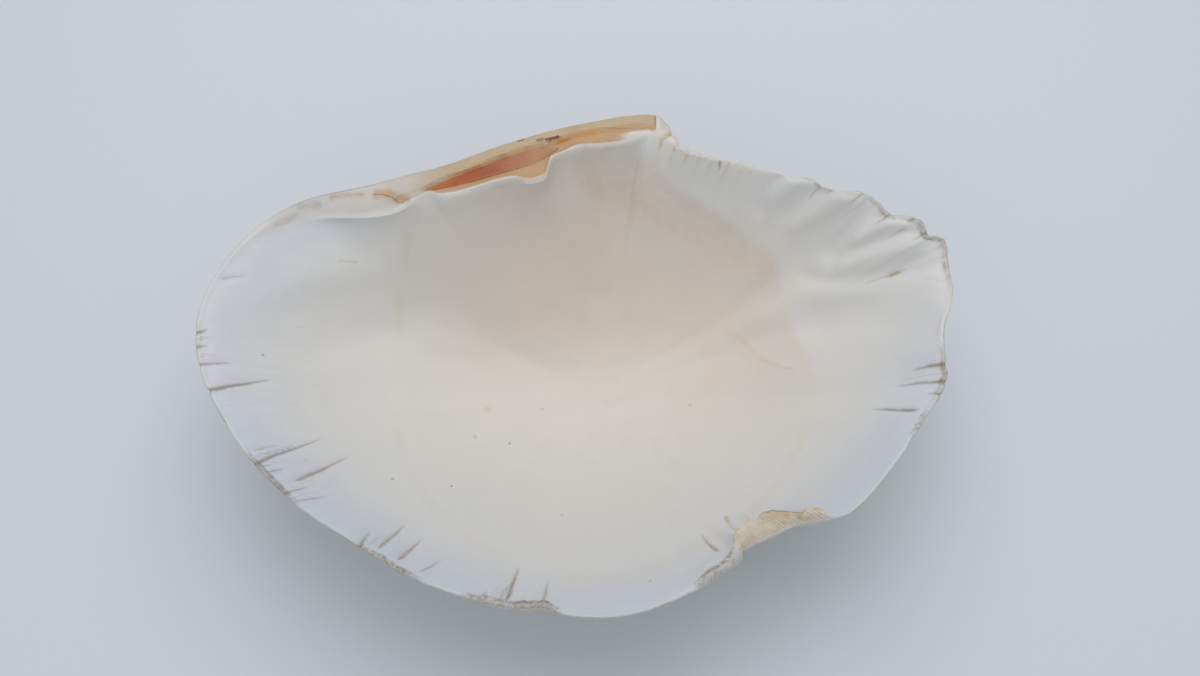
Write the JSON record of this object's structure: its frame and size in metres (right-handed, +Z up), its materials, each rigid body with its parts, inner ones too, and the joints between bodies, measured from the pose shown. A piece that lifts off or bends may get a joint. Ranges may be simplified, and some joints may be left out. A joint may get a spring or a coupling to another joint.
{
  "type": "giant clam shell",
  "caption": "Single loose valve of a smooth giant clam, a shallow ribbed bowl of shell that rests on its rounded outside and holds small things.",
  "frame": {"origin": "middle of the box round the valve, on the surface that it rests on", "axes": "+X along the valve's length to its front end, +Y to the hinge, +Z up, out of the bowl"},
  "size_m": [0.3602, 0.2564, 0.0947],
  "materials": {
    "shell": "satin",
    "horn": "satin"
  },
  "bodies": {
    "root": {"valve": "shell", "ligament": "horn"}
  },
  "joints": []
}
